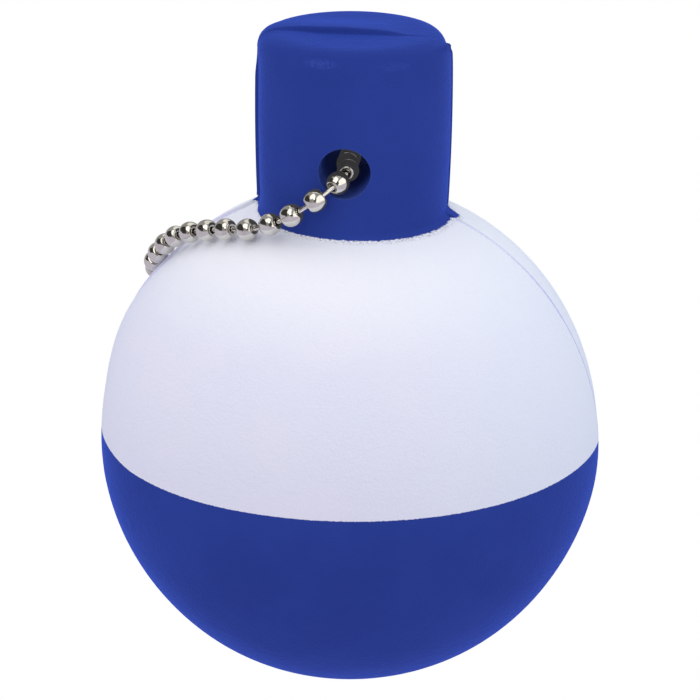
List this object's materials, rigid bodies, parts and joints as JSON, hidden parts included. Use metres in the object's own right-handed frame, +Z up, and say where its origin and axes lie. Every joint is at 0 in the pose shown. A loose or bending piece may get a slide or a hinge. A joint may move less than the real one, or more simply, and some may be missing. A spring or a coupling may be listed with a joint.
{
  "type": "floating keychain",
  "caption": "Foam ball float with a cylindrical neck, two-tone painted, hung on a closed loop of nickel ball chain through a cross hole in the neck.",
  "frame": {"origin": "middle of the cross hole through the float's neck, where the chain carries the float", "axes": "+Z up along the axis of ball and neck, Y along the cross hole with the pictured front towards -Y, the chain lying over the -X side"},
  "size_m": [0.056, 0.056, 0.0742],
  "materials": {
    "float_foam": "painted moulded foam with a fine grain, white upper half, blue lower half and neck",
    "chain_nickel": "polished nickel plate, slightly warm"
  },
  "bodies": {
    "root": {"float_body": "float_foam", "bead_01": "chain_nickel", "bead_02": "chain_nickel", "bead_03": "chain_nickel", "bead_04": "chain_nickel", "bead_05": "chain_nickel", "bead_06": "chain_nickel", "bead_07": "chain_nickel", "bead_08": "chain_nickel", "bead_09": "chain_nickel", "bead_10": "chain_nickel", "bead_11": "chain_nickel", "bead_12": "chain_nickel", "bead_13": "chain_nickel", "bead_14": "chain_nickel", "bead_15": "chain_nickel", "bead_16": "chain_nickel", "bead_17": "chain_nickel", "bead_18": "chain_nickel", "bead_19": "chain_nickel", "bead_20": "chain_nickel", "bead_21": "chain_nickel", "bead_22": "chain_nickel", "bead_23": "chain_nickel", "bead_24": "chain_nickel", "bead_25": "chain_nickel", "bead_26": "chain_nickel", "bead_27": "chain_nickel", "bead_28": "chain_nickel", "bead_29": "chain_nickel", "bead_30": "chain_nickel", "link_01": "chain_nickel", "link_02": "chain_nickel", "link_03": "chain_nickel", "link_04": "chain_nickel", "link_05": "chain_nickel", "link_06": "chain_nickel", "link_07": "chain_nickel", "link_08": "chain_nickel", "link_09": "chain_nickel", "link_11": "chain_nickel", "link_12": "chain_nickel", "link_13": "chain_nickel", "link_14": "chain_nickel", "link_15": "chain_nickel", "link_16": "chain_nickel", "link_17": "chain_nickel", "link_18": "chain_nickel", "link_19": "chain_nickel", "link_20": "chain_nickel", "link_21": "chain_nickel", "link_22": "chain_nickel", "link_23": "chain_nickel", "link_24": "chain_nickel", "link_25": "chain_nickel", "link_26": "chain_nickel", "link_27": "chain_nickel", "link_28": "chain_nickel", "link_29": "chain_nickel", "chain_coupling": "chain_nickel"}
  },
  "joints": []
}
